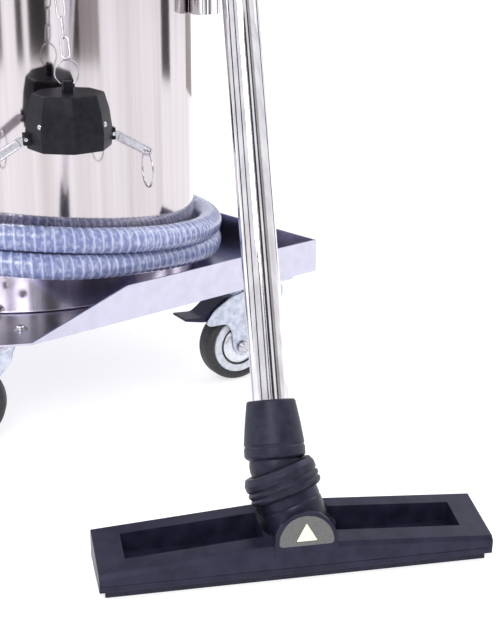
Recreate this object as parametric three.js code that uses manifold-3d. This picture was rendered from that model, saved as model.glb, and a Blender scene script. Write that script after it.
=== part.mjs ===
// Shop vacuum: stainless tank on a castor tray, coiled suction hose, wand and floor tool.
// Millimetres, +Z up. The tank's axis is the working centre; front is -Y, right is +X.
// The last lines move everything so that the origin is under the middle of the whole object.
import * as THREE from 'three';
import { mergeVertices } from 'three/addons/utils/BufferGeometryUtils.js';
import Module from 'manifold-3d';

const wasm = await Module();
wasm.setup();

// ---------- driving dimensions ----------
const GAP = 0.35;                 // clearance where two pieces touch
const SHEET = 2.5;                // sheet metal of tray and tank

const CASTOR_HEIGHT = 142;        // floor to the underside of the tray
const WHEEL_RADIUS = 50;
const WHEEL_WIDTH = 32;
const CASTOR_TRAIL = 36;
const FORK_INSIDE = 20;           // half the space between the fork's cheeks
const REAR_CASTOR = { x: 250, y: 207 };
const FRONT_CASTOR = { x: 212, y: -190 };

const TRAY_HALF_WIDTH = 293;
const TRAY_HALF_LENGTH = 277;
const TRAY_CHAMFER_SIDE_Y = -183; // where the side edge turns in to the front corner
const TRAY_FRONT_HALF_WIDTH = 240;
const FLANGE_HEIGHT = 44;
const FLANGE_FULL_FROM_Y = -43;   // the side flange tapers to nothing in front of this

const TANK_RADIUS = 233;
const TANK_TOP = 700;
const TANK_BOTTOM = CASTOR_HEIGHT + SHEET + GAP;

const HEAD_BASE_HEIGHT = 6;
const HEAD_COVER_HEIGHT = 190;
const HEAD_RADIUS = 238;

const INLET_Z = 600;
const INLET_RADIUS = 25;

const HOSE_RADIUS = 16.5;
const COIL_RADIUS = 255;
const COIL_MIDDLE_Z = 212;
const COIL_TILT = 7.5;            // degrees, the front of the coil higher than the back

const CAP_AZIMUTH = -21;          // degrees round the tank from +X
const CAP_DISTANCE = 288;         // tank axis to cap axis
const CAP_BOTTOM = 362;
const CAP_HEIGHT = 64;
const LEVER_DROOP = 30;           // degrees below level, the cap's levers hanging open

const HOLDER_AZIMUTH = 41.7;
const HOLDER_BOTTOM = 489;
const HOLDER_LENGTH = 150;

const TOOL_CENTRE = new THREE.Vector3(684, -133, 0);
const TOOL_TURN = 60.5;           // degrees, the tool's long side from +X
const TOOL_LENGTH = 402;
const TOOL_DEPTH = 80;
const TOOL_HEIGHT = 39.5;         // at the ends
const TOOL_RISE = 13.5;           // how much higher its middle stands

const WAND_RADIUS = 19;
const WAND_LENGTH = 1000;
const WAND_FOOT = new THREE.Vector3(658.2, -132.6, 98.6);
const WAND_DIRECTION = new THREE.Vector3(-0.347, 0.2064, 0.915).normalize();
const NECK_FOOT = new THREE.Vector3(686.6, -128.4, 48);
const NECK_DIRECTION = WAND_FOOT.clone().sub(NECK_FOOT).normalize();
const ELBOW_RADIUS = 31;
const BALL_RADIUS = 27;           // the wand's cuff ends in a ball that sits in the collar

// ---------- materials ----------
const finish = (color, roughness, metalness) =>
  new THREE.MeshStandardMaterial({ color, roughness, metalness });
const polishedSteel = finish(0xb9b7bd, 0.12, 1);
const satinSteel = finish(0xc9c8d6, 0.35, 0.9);
const chrome = finish(0xcfcdd0, 0.08, 1);
const zinc = finish(0xbcc4cf, 0.3, 0.9);
const blackPlastic = finish(0x1c1c22, 0.45, 0);
const softRubber = finish(0x17171b, 0.65, 0);
const greyPlastic = finish(0x9da1a8, 0.5, 0);
const clearHose = finish(0x8f97c8, 0.3, 0);
const filterPaper = finish(0xd9d4c4, 0.9, 0);
const redPlastic = finish(0x9a2320, 0.4, 0);

// ---------- helpers ----------
const radians = THREE.MathUtils.degToRad;
const assembly = new THREE.Group();

function add(name, geometry, material, parent = assembly) {
  const mesh = new THREE.Mesh(geometry, material);
  mesh.name = name;
  parent.add(mesh);
  return mesh;
}

function toSolid(geometry) {
  const bare = geometry.clone();
  bare.deleteAttribute('normal');
  bare.deleteAttribute('uv');
  const merged = mergeVertices(bare, 1e-4);
  return new wasm.Manifold(new wasm.Mesh({
    numProp: 3,
    vertProperties: new Float32Array(merged.attributes.position.array),
    triVerts: new Uint32Array(merged.index.array),
  }));
}

function toGeometry(solid) {
  const { vertProperties, triVerts } = solid.getMesh();
  const geometry = new THREE.BufferGeometry();
  geometry.setAttribute('position', new THREE.BufferAttribute(vertProperties, 3));
  geometry.setIndex(new THREE.BufferAttribute(triVerts, 1));
  geometry.computeVertexNormals();
  return geometry;
}

const join = (first, ...others) =>
  toGeometry(others.reduce((solid, other) => solid.add(toSolid(other)), toSolid(first)));
const cut = (first, ...others) =>
  toGeometry(others.reduce((solid, other) => solid.subtract(toSolid(other)), toSolid(first)));

// A solid of revolution about Z from [radius, height] pairs, up the outside first.
function turned(profile, segments = 32) {
  const points = profile.map(([r, z]) => new THREE.Vector2(r, z));
  return new THREE.LatheGeometry(points, segments).rotateX(Math.PI / 2);
}

const rod = (radius, bottom, top, segments = 24) =>
  turned([[0, bottom], [radius, bottom], [radius, top], [0, top]], segments);
const pipe = (outer, inner, bottom, top, segments = 32) =>
  turned([[inner, bottom], [outer, bottom], [outer, top], [inner, top], [inner, bottom]], segments);

function box(sx, sy, sz, x = 0, y = 0, z = 0) {
  return new THREE.BoxGeometry(sx, sy, sz).translate(x, y, z);
}

// An outline in X and Y, made solid from z = 0 to the given height.
function plate(outline, height) {
  const shape = new THREE.Shape(outline.map(([x, y]) => new THREE.Vector2(x, y)));
  return new THREE.ExtrudeGeometry(shape, { depth: height, bevelEnabled: false });
}

// An outline in X and Z, centred on Y = 0 with the given width.
const upright = (outline, width) =>
  plate(outline, width).translate(0, 0, -width / 2).rotateX(Math.PI / 2);

function circleShape(radius, sides) {
  const points = [];
  for (let i = 0; i < sides; i += 1) {
    const angle = (i / sides) * Math.PI * 2;
    points.push(new THREE.Vector2(Math.cos(angle) * radius, Math.sin(angle) * radius));
  }
  return new THREE.Shape(points);
}

function tube(points, radius, sides, steps) {
  const path = new THREE.CatmullRomCurve3(points, false, 'centripetal');
  return new THREE.ExtrudeGeometry(circleShape(radius, sides),
    { steps, extrudePath: path, bevelEnabled: false });
}

const ring = (radius, wire, sides = 6, segments = 16) =>
  new THREE.TorusGeometry(radius, wire, sides, segments);

const polar = (azimuth, radius, z) => new THREE.Vector3(
  Math.cos(radians(azimuth)) * radius, Math.sin(radians(azimuth)) * radius, z);

// Turns a geometry built along +Z so that it stands at a point along a direction.
function aim(geometry, origin, direction) {
  const turn = new THREE.Quaternion().setFromUnitVectors(new THREE.Vector3(0, 0, 1), direction);
  return geometry.applyQuaternion(turn).translate(origin.x, origin.y, origin.z);
}

const along = (origin, direction, distance) => origin.clone().addScaledVector(direction, distance);

// ---------- tray ----------
function makeTray() {
  const front = -TRAY_HALF_LENGTH;
  const floor = plate([
    [-TRAY_FRONT_HALF_WIDTH, front], [TRAY_FRONT_HALF_WIDTH, front],
    [TRAY_HALF_WIDTH, TRAY_CHAMFER_SIDE_Y], [TRAY_HALF_WIDTH, TRAY_HALF_LENGTH],
    [-TRAY_HALF_WIDTH, TRAY_HALF_LENGTH], [-TRAY_HALF_WIDTH, TRAY_CHAMFER_SIDE_Y],
  ], SHEET);
  const side = () => plate([
    [TRAY_CHAMFER_SIDE_Y, 0], [TRAY_HALF_LENGTH, 0],
    [TRAY_HALF_LENGTH, FLANGE_HEIGHT], [FLANGE_FULL_FROM_Y, FLANGE_HEIGHT],
    [TRAY_CHAMFER_SIDE_Y, SHEET],
  ], SHEET).rotateX(Math.PI / 2).rotateZ(Math.PI / 2);
  const right = side().translate(TRAY_HALF_WIDTH - SHEET, 0, 0);
  const left = side().translate(-TRAY_HALF_WIDTH, 0, 0);
  const back = box(TRAY_HALF_WIDTH * 2, SHEET, FLANGE_HEIGHT,
    0, TRAY_HALF_LENGTH - SHEET / 2, FLANGE_HEIGHT / 2);
  const drain = rod(4, -5, 10, 16).translate(TRAY_HALF_WIDTH - 24, TRAY_HALF_LENGTH - 60, 0);
  const solid = cut(join(floor, right, left, back), drain);
  add('tray', solid.translate(0, 0, CASTOR_HEIGHT), satinSteel);
}

// ---------- castors ----------
function makeCastor(name, x, y, trailAzimuth, braked) {
  const castor = new THREE.Group();
  castor.position.set(x, y, 0);
  castor.rotation.z = radians(trailAzimuth);
  assembly.add(castor);

  const top = CASTOR_HEIGHT - GAP;
  const race = turned([[0, top - 8], [26, top - 8], [30, top - 4], [30, top - 2], [0, top - 2]], 16);
  const mounting = new THREE.Mesh(join(box(80, 70, 4, 0, 0, top - 2), race), zinc);
  mounting.name = `${name}_plate`;
  castor.add(mounting);
  mounting.rotation.z = -castor.rotation.z;

  const headTop = top - 8 - GAP;
  const cheek = [
    [-28, headTop - 2], [22, headTop - 2], [50, headTop - 12], [72, headTop - 28],
    [84, headTop - 42], [80, headTop - 48], [60, headTop - 48], [52, headTop - 60],
    [50, WHEEL_RADIUS], [44, WHEEL_RADIUS - 10], [CASTOR_TRAIL, WHEEL_RADIUS - 14],
    [28, WHEEL_RADIUS - 10], [20, WHEEL_RADIUS + 6], [-6, headTop - 50], [-28, headTop - 22],
  ];
  const cheekThickness = 3;
  const cheekMiddle = FORK_INSIDE + cheekThickness / 2;
  const fork = join(
    rod(33, headTop - 9, headTop, 18),
    upright(cheek, cheekThickness).translate(0, cheekMiddle, 0),
    upright(cheek, cheekThickness).translate(0, -cheekMiddle, 0),
    rod(5.5, -cheekMiddle - 5, cheekMiddle + 5, 10).rotateX(Math.PI / 2)
      .translate(CASTOR_TRAIL, 0, WHEEL_RADIUS),
  );
  add(`${name}_fork`, fork, zinc, castor);

  const half = WHEEL_WIDTH / 2;
  const tread = 39;
  const onAxle = (geometry) => geometry.rotateX(Math.PI / 2).translate(CASTOR_TRAIL, 0, WHEEL_RADIUS);
  const tyre = turned([
    [tread, -half], [WHEEL_RADIUS - 5, -half], [WHEEL_RADIUS, -half + 5],
    [WHEEL_RADIUS, half - 5], [WHEEL_RADIUS - 5, half], [tread, half], [tread, -half],
  ], 24);
  add(`${name}_tyre`, onAxle(tyre), softRubber, castor);
  const hub = turned([
    [6, -half - 2], [15, -half - 2], [18, -half + 4], [tread - GAP, -half + 2],
    [tread - GAP, half - 2], [18, half - 4], [15, half + 2], [6, half + 2], [6, -half - 2],
  ], 20);
  add(`${name}_hub`, onAxle(hub), greyPlastic, castor);

  if (braked) {
    const pedal = upright([
      [42, headTop - 22], [44, headTop - 12], [58, headTop - 12], [92, headTop - 26],
      [118, headTop - 30], [118, headTop - 34], [88, headTop - 35], [60, headTop - 26],
    ], FORK_INSIDE * 2 - 4);
    add(`${name}_pedal`, pedal, blackPlastic, castor);
  }
}

// ---------- tank and what hangs on it ----------
function makeTank() {
  const inner = TANK_RADIUS - SHEET;
  const shell = turned([
    [0, TANK_BOTTOM], [TANK_RADIUS, TANK_BOTTOM], [TANK_RADIUS, TANK_TOP - 12],
    [TANK_RADIUS + 5, TANK_TOP - 8], [TANK_RADIUS + 5, TANK_TOP], [inner, TANK_TOP],
    [inner, TANK_BOTTOM + SHEET], [0, TANK_BOTTOM + SHEET],
  ], 44);
  const hole = rod(INLET_RADIUS + GAP, 0, 40, 24).rotateX(Math.PI / 2)
    .translate(0, -TANK_RADIUS + 20, INLET_Z);
  add('tank', cut(shell, hole), polishedSteel);

  const adapter = join(
    pipe(INLET_RADIUS, INLET_RADIUS - 4, TANK_RADIUS - 12, TANK_RADIUS + 70, 18),
    pipe(INLET_RADIUS + 14, INLET_RADIUS - 2, TANK_RADIUS + 1, TANK_RADIUS + 6, 18),
  );
  add('inlet_adapter', adapter.rotateX(Math.PI / 2).translate(0, 0, INLET_Z), zinc);

  const socket = pipe(20, 17.5, HOLDER_BOTTOM, HOLDER_BOTTOM + HOLDER_LENGTH, 18);
  const socketPlace = polar(HOLDER_AZIMUTH, TANK_RADIUS + 20 + GAP, 0);
  add('tube_holder', socket.translate(socketPlace.x, socketPlace.y, 0), polishedSteel);
}

function makeLatch(name, azimuth) {
  const latch = new THREE.Group();
  latch.rotation.z = radians(azimuth);
  assembly.add(latch);
  const wall = TANK_RADIUS + 5 + GAP;
  const hingeZ = TANK_TOP - 52;
  const pin = wall + 9;
  const root = TANK_RADIUS + GAP;
  const bracket = upright([
    [root, hingeZ - 14], [root + 4, hingeZ - 14], [pin - 5, hingeZ - 3.5], [pin + 2, hingeZ - 3.5],
    [pin + 3, hingeZ], [pin + 2, hingeZ + 3.5], [pin - 5, hingeZ + 3.5],
    [root + 4, hingeZ + 12], [root, hingeZ + 12],
  ], 18);
  add(`${name}_bracket`, bracket, zinc, latch);
  const lever = join(
    box(4, 26, 69, pin + 6, 0, hingeZ + 35.5),
    box(12, 3, 12, pin, 11, hingeZ),
    box(12, 3, 12, pin, -11, hingeZ),
    box(18, 16, 4, pin - 3, 0, TANK_TOP + 16),
  );
  add(`${name}_lever`, lever, zinc, latch);
}

// ---------- head ----------
function makeHead() {
  const seat = TANK_TOP + GAP;
  add('tank_gasket', pipe(TANK_RADIUS + 4, TANK_RADIUS - 8, seat, seat + 4, 32), softRubber);
  const baseBottom = seat + 4 + GAP;
  const baseTop = baseBottom + HEAD_BASE_HEIGHT;
  add('head_base', pipe(HEAD_RADIUS, 24, baseBottom, baseTop, 32), blackPlastic);

  const coverBottom = baseTop + GAP;
  const coverTop = coverBottom + HEAD_COVER_HEIGHT;
  const wall = 4;
  const outer = HEAD_RADIUS - 6;
  const cover = turned([
    [outer - wall, coverBottom], [outer, coverBottom],
    [outer, coverBottom + 60], [outer - 14, coverTop - 60],
    [outer - 60, coverTop - 14], [outer - 110, coverTop], [0, coverTop],
    [0, coverTop - wall], [outer - 112, coverTop - wall],
    [outer - 64, coverTop - 18], [outer - 18, coverTop - 62],
    [outer - wall, coverBottom + 58], [outer - wall, coverBottom],
  ], 28);
  add('head_cover', cover, blackPlastic);

  const fanBottom = coverBottom + 2;
  add('motor_impeller', pipe(70, 5, fanBottom + 4, fanBottom + 22, 20), satinSteel);
  add('motor_shaft', rod(4.6, fanBottom, fanBottom + 34, 16), zinc);
  const motorBottom = fanBottom + 36;
  add('suction_motor', turned([
    [0, motorBottom], [74, motorBottom], [74, motorBottom + 20], [52, motorBottom + 34],
    [52, motorBottom + 96], [30, motorBottom + 108], [0, motorBottom + 108],
  ], 20), greyPlastic);

  const rocker = upright([
    [-14, 0], [0, -2], [14, 0], [14, 5], [0, 3], [-14, 8],
  ], 18);
  add('power_switch', rocker.translate(-60, 0, coverTop + 2 + GAP), redPlastic);
}

function makeFilter() {
  const hang = TANK_TOP + 4;
  const cage = turned([
    [0, 470], [95, 470], [95, hang - 4], [82, hang - 4], [82, 484], [0, 484],
  ], 24);
  add('filter_cartridge', cage, filterPaper);
  add('float_cage', turned([
    [0, 590], [40, 590], [40, hang - 2], [37, hang - 2], [37, 594], [0, 594],
  ], 24), blackPlastic);
  add('float_ball', new THREE.SphereGeometry(28, 14, 8).translate(0, 0, 594 + 28 + GAP), greyPlastic);
}

// ---------- dust cap on its chain ----------
function makeCap() {
  const cap = new THREE.Group();
  cap.rotation.z = radians(CAP_AZIMUTH);
  assembly.add(cap);

  const bottom = CAP_BOTTOM;
  const top = CAP_BOTTOM + CAP_HEIGHT;
  const bowl = turned([
    [41, bottom], [48, bottom], [49, bottom + 20], [46, bottom + 42], [40, top],
    [0, top], [0, top - 6], [36, top - 6], [41, bottom],
  ], 28);
  const tabHole = 8;
  const tab = cut(
    box(11, 12, 15, 0, 0, top + 7.4),
    rod(3.4, -10, 10, 12).rotateX(Math.PI / 2).translate(0, 0, top + tabHole),
  );
  add('dust_cap', join(bowl, tab).translate(CAP_DISTANCE, 0, 0), blackPlastic, cap);

  const topRing = 14.5;
  const wire = 1.5;
  const ringCentre = top + tabHole + topRing;
  add('cap_ring_top', ring(topRing, wire).rotateY(Math.PI / 2)
    .translate(CAP_DISTANCE, 0, ringCentre), chrome, cap);

  const chainFoot = new THREE.Vector3(CAP_DISTANCE, 0, ringCentre + topRing + wire + GAP + 1);
  const chainTop = new THREE.Vector3(TANK_RADIUS + 9, 0, INLET_Z - 4);
  const run = chainTop.clone().sub(chainFoot);
  add('cap_chain', aim(rod(3, 0, run.length(), 8), chainFoot, run.normalize()), chrome, cap);
  add('chain_anchor', join(
    box(3, 22, 22, TANK_RADIUS + 2, 0, INLET_Z + 8),
    box(12, 4, 8, TANK_RADIUS + 8, 0, INLET_Z + 8),
  ), zinc, cap);

  const pinZ = bottom + 13;
  const leverPin = 52;
  const leverLength = 54;
  const reach = leverLength - 6;
  const pullRing = 22;
  for (const [side, sign] of [['right', 1], ['left', -1]]) {
    const pivot = new THREE.Group();
    pivot.position.set(CAP_DISTANCE, sign * leverPin, pinZ);
    pivot.rotation.x = sign > 0 ? -radians(LEVER_DROOP) : radians(LEVER_DROOP);
    cap.add(pivot);
    const outline = [[-2, -2], [7, -6], [leverLength, -6], [leverLength, 6], [7, 6], [-2, 2]];
    const bar = cut(
      plate(outline.map(([y, z]) => [sign * y, z]), 2.5).translate(0, 0, -1.25)
        .rotateX(Math.PI / 2).rotateZ(Math.PI / 2),
      rod(3.6, -5, 5, 12).rotateY(Math.PI / 2).translate(0, sign * reach, 0),
    );
    add(`cap_lever_${side}`, bar, chrome, pivot);
    const endY = sign * (leverPin + Math.cos(radians(LEVER_DROOP)) * reach);
    const endZ = pinZ - Math.sin(radians(LEVER_DROOP)) * reach;
    add(`cap_ring_${side}`, ring(pullRing, 1.4).rotateX(Math.PI / 2)
      .translate(CAP_DISTANCE, endY, endZ - pullRing), chrome, cap);
  }
}

// ---------- floor tool, neck and wand ----------
function makeFloorTool() {
  const tool = new THREE.Group();
  tool.position.copy(TOOL_CENTRE);
  tool.rotation.z = radians(TOOL_TURN);
  assembly.add(tool);

  const skirt = 8;
  const roof = 15;
  const halfDepth = TOOL_DEPTH / 2;
  const section = (x, rise) => {
    const top = TOOL_HEIGHT + rise;
    const outline = [
      [-halfDepth, roof], [halfDepth, roof], [halfDepth, top - 4], [halfDepth - 4, top],
      [-halfDepth + 4, top - 13], [-halfDepth, top - 17],
    ];
    return outline.map(([y, z]) => [x, y, z]);
  };
  const body = toGeometry(wasm.Manifold.hull([
    ...section(-TOOL_LENGTH / 2, 0), ...section(0, TOOL_RISE), ...section(TOOL_LENGTH / 2, 0),
  ]));
  const pocketFloor = 19;
  const pocketLength = TOOL_LENGTH / 2 - 62;
  const pocket = (sign) => box(pocketLength, TOOL_DEPTH - 40, 50,
    sign * (34 + pocketLength / 2), 2, pocketFloor + 25);
  const neckX = (NECK_FOOT.x - TOOL_CENTRE.x) * Math.cos(radians(TOOL_TURN))
    + (NECK_FOOT.y - TOOL_CENTRE.y) * Math.sin(radians(TOOL_TURN));
  const bore = turned([
    [0, 18], [ELBOW_RADIUS + GAP, 18], [ELBOW_RADIUS + GAP, 36], [ELBOW_RADIUS + 26, 60], [0, 60],
  ], 32).translate(neckX, 0, 0);
  const throat = rod(22, 0, 20, 24).translate(neckX, 0, 0);
  const boss = rod(ELBOW_RADIUS + 8, roof, 46, 32).translate(neckX, 0, 0);
  const trough = cut(join(cut(body, pocket(1), pocket(-1)), boss), bore, throat);
  const face = upright([
    [-33, 30], [33, 30], [31, 50], [24, 62], [14, 70], [0, 73], [-14, 70], [-24, 62], [-31, 50],
  ], 5).rotateX(-radians(7)).translate(neckX, -41.9, 0);
  add('tool_body', join(trough, face), blackPlastic, tool);
  add('strip_frame', cut(
    box(TOOL_LENGTH, TOOL_DEPTH, roof - GAP - skirt, 0, 0, (roof - GAP + skirt) / 2),
    box(TOOL_LENGTH - 16, TOOL_DEPTH - 34, 20, 0, 0, skirt),
  ), blackPlastic, tool);
  for (const [name, y] of [['squeegee_front', -halfDepth + 7], ['squeegee_rear', halfDepth - 7]]) {
    add(name, box(TOOL_LENGTH - 12, 4, skirt - GAP, 0, y, (skirt - GAP) / 2), softRubber, tool);
  }
}

function makeNeck() {
  const wandStart = 40;
  const upper = aim(rod(ELBOW_RADIUS, 0, 26, 24), NECK_FOOT, NECK_DIRECTION);
  const lower = rod(ELBOW_RADIUS, 20, NECK_FOOT.z, 32).translate(NECK_FOOT.x, NECK_FOOT.y, 0);
  const channel = aim(rod(18, -2, 40, 20), NECK_FOOT, NECK_DIRECTION);
  const outlet = rod(16, 0, NECK_FOOT.z + 4, 20).translate(NECK_FOOT.x, NECK_FOOT.y, 0);
  add('swivel_elbow', cut(join(upper, lower), channel, outlet), blackPlastic);
  const neckLength = NECK_FOOT.distanceTo(WAND_FOOT);
  const collar = turned([
    [18, 26 + GAP], [34, 26 + GAP], [38, 32], [38, neckLength - 9], [35, neckLength - 3],
    [28.04, neckLength - 3], [25.5, neckLength - 12], [22.5, neckLength - 17],
    [18, neckLength - 21.7], [18, 26 + GAP],
  ], 24);
  add('swivel_collar', aim(collar, NECK_FOOT, NECK_DIRECTION), blackPlastic);
  const ball = [-56, -45, -30, -15, 0, 12.5].map((angle) =>
    [BALL_RADIUS * Math.cos(radians(angle)), BALL_RADIUS * Math.sin(radians(angle))]);
  const cuff = turned([
    ...ball, [31, 8], [31, 20], [28, 44], [25, 66],
    [WAND_RADIUS + GAP, 66], [WAND_RADIUS + GAP, wandStart - GAP], [15, wandStart - GAP], ball[0],
  ], 24);
  add('wand_cuff', aim(cuff, WAND_FOOT, WAND_DIRECTION), softRubber);
  const wand = pipe(WAND_RADIUS, WAND_RADIUS - 1.5, wandStart, wandStart + WAND_LENGTH, 24);
  add('wand', aim(wand, WAND_FOOT, WAND_DIRECTION), chrome);
  return along(WAND_FOOT, WAND_DIRECTION, wandStart + WAND_LENGTH);
}

function makeWandHolder() {
  const hold = along(WAND_FOOT, WAND_DIRECTION, 830);
  const eye = aim(pipe(WAND_RADIUS + 5, WAND_RADIUS + GAP, -12, 12, 20), hold, WAND_DIRECTION);
  const inward = new THREE.Vector3(-hold.x, -hold.y, 0).normalize();
  const azimuth = THREE.MathUtils.radToDeg(Math.atan2(hold.y, hold.x));
  const arm = tube([
    along(hold, inward, WAND_RADIUS + 3),
    along(hold, inward, WAND_RADIUS + 40),
    polar(azimuth, TANK_RADIUS + 36, 770),
    polar(azimuth, TANK_RADIUS + 16, 690),
    polar(azimuth, TANK_RADIUS + 13, 620),
  ], 5, 8, 12);
  const foot = box(4, 40, 60, TANK_RADIUS + 8 + GAP, 0, 640).rotateZ(radians(azimuth));
  add('wand_holder', join(eye, arm, foot), zinc);
}

const HAND_TUBE_POINTS = [
  new THREE.Vector3(255, 106, 1110),
  new THREE.Vector3(205, 134, 1160),
  new THREE.Vector3(148, 162, 1188),
  new THREE.Vector3(90, 188, 1190),
];

function makeHandTube(wandTop) {
  const start = along(wandTop, WAND_DIRECTION, GAP);
  const bend = tube([start, along(start, WAND_DIRECTION, 30), ...HAND_TUBE_POINTS],
    WAND_RADIUS, 14, 14);
  add('hand_tube', bend, chrome);
}

// ---------- hose ----------
const CUFF_END = new THREE.Vector3(26, 217, 1190);
const ELBOW_END = new THREE.Vector3(-75, -352, INLET_Z);

const INLET_RUN = [
  ELBOW_END.clone().add(new THREE.Vector3(-1, 0, 0)),
  new THREE.Vector3(-100, -352, 600), new THREE.Vector3(-155, -332, 592),
  new THREE.Vector3(-222, -272, 570), polar(211, 304, 530), polar(194, 279, 480),
  polar(175, 261, 422), polar(155, 256.5, 345), polar(140, 256, 285), polar(128, 256, 246),
];

const WAND_RUN = [
  along(CUFF_END, new THREE.Vector3(-0.91, 0.41, 0).normalize(), 1),
  new THREE.Vector3(-16, 235, 1189), new THREE.Vector3(-90, 252, 1162),
  new THREE.Vector3(-160, 248, 1100), new THREE.Vector3(-212, 228, 1010),
  polar(140, 306, 900), polar(144, 303, 780), polar(147, 302, 660), polar(151, 301, 540),
  polar(158, 302, 450), polar(171, 302, 382), polar(188, 299, 330), polar(206, 296, 290),
  polar(224, 293, 258), polar(242, 291.5, 236), polar(258, 291.5, 226),
];

function makeHose() {
  const half = HOSE_RADIUS * 2;
  const soft = 10;
  const coil = turned([
    [COIL_RADIUS - HOSE_RADIUS, -half + soft], [COIL_RADIUS - HOSE_RADIUS + soft, -half],
    [COIL_RADIUS + HOSE_RADIUS - soft, -half], [COIL_RADIUS + HOSE_RADIUS, -half + soft],
    [COIL_RADIUS + HOSE_RADIUS, half - soft], [COIL_RADIUS + HOSE_RADIUS - soft, half],
    [COIL_RADIUS - HOSE_RADIUS + soft, half], [COIL_RADIUS - HOSE_RADIUS, half - soft],
    [COIL_RADIUS - HOSE_RADIUS, -half + soft],
  ], 40);
  const ringMesh = add('hose_coil', coil, clearHose);
  ringMesh.position.z = COIL_MIDDLE_Z;
  ringMesh.rotation.x = -radians(COIL_TILT);

  add('hose_inlet_run', tube(INLET_RUN, HOSE_RADIUS, 8, 16), clearHose);
  add('hose_wand_run', tube(WAND_RUN, HOSE_RADIUS, 8, 26), clearHose);

  const last = HAND_TUBE_POINTS[HAND_TUBE_POINTS.length - 1];
  const cuffDirection = CUFF_END.clone().sub(last).normalize();
  const cuffStart = along(last, cuffDirection, 1.4);
  const cuffLength = CUFF_END.distanceTo(cuffStart);
  add('hose_cuff', aim(turned([
    [0, 0], [24, 0], [24, 30], [21, cuffLength], [0, cuffLength],
  ], 24), cuffStart, cuffDirection), softRubber);

  const elbowStart = new THREE.Vector3(0, -(TANK_RADIUS + 70 + GAP), INLET_Z);
  add('hose_coupler', tube([
    elbowStart, new THREE.Vector3(0, -322, INLET_Z), new THREE.Vector3(-9, -338, INLET_Z),
    new THREE.Vector3(-28, -349, INLET_Z), new THREE.Vector3(-50, -352, INLET_Z), ELBOW_END,
  ], 24, 14, 9), blackPlastic);
}

// ---------- assembly ----------
makeTray();
makeCastor('castor_rear_right', REAR_CASTOR.x, REAR_CASTOR.y, -101, true);
makeCastor('castor_rear_left', -REAR_CASTOR.x, REAR_CASTOR.y, -84, true);
makeCastor('castor_front_right', FRONT_CASTOR.x, FRONT_CASTOR.y, -128, false);
makeCastor('castor_front_left', -FRONT_CASTOR.x, FRONT_CASTOR.y, -70, false);
makeTank();
makeLatch('latch_front', -62);
makeLatch('latch_rear', 104);
makeHead();
makeFilter();
makeCap();
makeFloorTool();
const wandTop = makeNeck();
makeWandHolder();
makeHandTube(wandTop);
makeHose();

// The origin goes under the middle of the object's box, measured without the hose.
const HOSE_NODES = ['hose_coil', 'hose_inlet_run', 'hose_wand_run', 'hose_cuff', 'hose_coupler'];
assembly.updateMatrixWorld(true);
const bounds = new THREE.Box3();
assembly.traverse((item) => {
  if (item.isMesh && !HOSE_NODES.includes(item.name)) {
    bounds.union(new THREE.Box3().setFromObject(item, true));
  }
});
const middle = bounds.getCenter(new THREE.Vector3());
assembly.position.set(-middle.x, -middle.y, -bounds.min.z);

export default assembly;
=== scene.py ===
"""Looks of the shop vacuum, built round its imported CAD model.

Sizes are in millimetres in the machine's own frame: the tank's axis is at X = Y = 0, the floor is
Z = 0, the front is -Y and the right is +X. piece() turns them into metres in the row frame.
"""
import math

import bmesh
import bpy
from mathutils import Matrix, Vector


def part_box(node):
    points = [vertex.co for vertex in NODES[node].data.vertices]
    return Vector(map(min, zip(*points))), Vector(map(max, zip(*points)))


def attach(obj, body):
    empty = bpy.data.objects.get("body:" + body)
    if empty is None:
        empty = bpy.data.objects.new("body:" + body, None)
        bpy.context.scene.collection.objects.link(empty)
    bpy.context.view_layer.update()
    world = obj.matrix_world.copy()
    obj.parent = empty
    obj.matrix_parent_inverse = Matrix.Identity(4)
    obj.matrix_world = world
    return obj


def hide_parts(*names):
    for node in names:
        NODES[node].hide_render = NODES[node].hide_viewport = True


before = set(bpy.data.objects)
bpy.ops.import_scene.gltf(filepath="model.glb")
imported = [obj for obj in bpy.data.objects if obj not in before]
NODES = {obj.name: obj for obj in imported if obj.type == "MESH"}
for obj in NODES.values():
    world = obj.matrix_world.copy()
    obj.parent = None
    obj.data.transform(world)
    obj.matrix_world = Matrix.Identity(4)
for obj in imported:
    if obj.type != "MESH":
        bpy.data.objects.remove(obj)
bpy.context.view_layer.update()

# ---------- driving dimensions ----------
MM = 0.001
TANK_LOW, TANK_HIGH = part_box("tank")
AXIS = Vector(((TANK_LOW.x + TANK_HIGH.x) / 2, (TANK_LOW.y + TANK_HIGH.y) / 2, 0))

GAP = 0.35
TANK_RADIUS = 233
TANK_TOP = 700
TANK_BOTTOM = TANK_LOW.z / MM
TRAY_UNDERSIDE = 142
TRAY_FLOOR = 144.5

WHEEL_RADIUS = 50
WHEEL_WIDTH = 32
CASTOR_TRAIL = 36
FORK_INSIDE = 20
CASTORS = {                      # place, and which way the wheel trails
    "rear_right": (250, 207, -101),
    "rear_left": (-250, 207, -84),
    "front_right": (212, -190, -128),
    "front_left": (-212, -190, -70),
}
BRAKED = ("rear_right", "rear_left")

HOSE_RADIUS = 16.5
HOSE_PITCH = 11.5                # one rib to the next
COIL_RADIUS = 255
COIL_MIDDLE_Z = 212
COIL_TILT = -7.5

CAP_AZIMUTH = -21
CAP_DISTANCE = 288
CAP_BOTTOM = 362
CAP_TOP = 426
CAP_PIN_Z = 375
LEVER_PIN = 52
LEVER_DROOP = 30
LEVER_REACH = 48
PULL_RING = 22

TOOL_CENTRE = (684, -133, 0)
TOOL_TURN = 60.5
NECK_FOOT = Vector((686.6, -128.4, 48))
WAND_FOOT = Vector((658.2, -132.6, 98.6))
WAND_DIRECTION = Vector((-0.347, 0.2064, 0.915)).normalized()
NECK_DIRECTION = (WAND_FOOT - NECK_FOOT).normalized()
WAND_RADIUS = 19
WAND_LENGTH = 1000
WAND_START = 40
ELBOW_RADIUS = 31
BALL_RADIUS = 27

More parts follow.
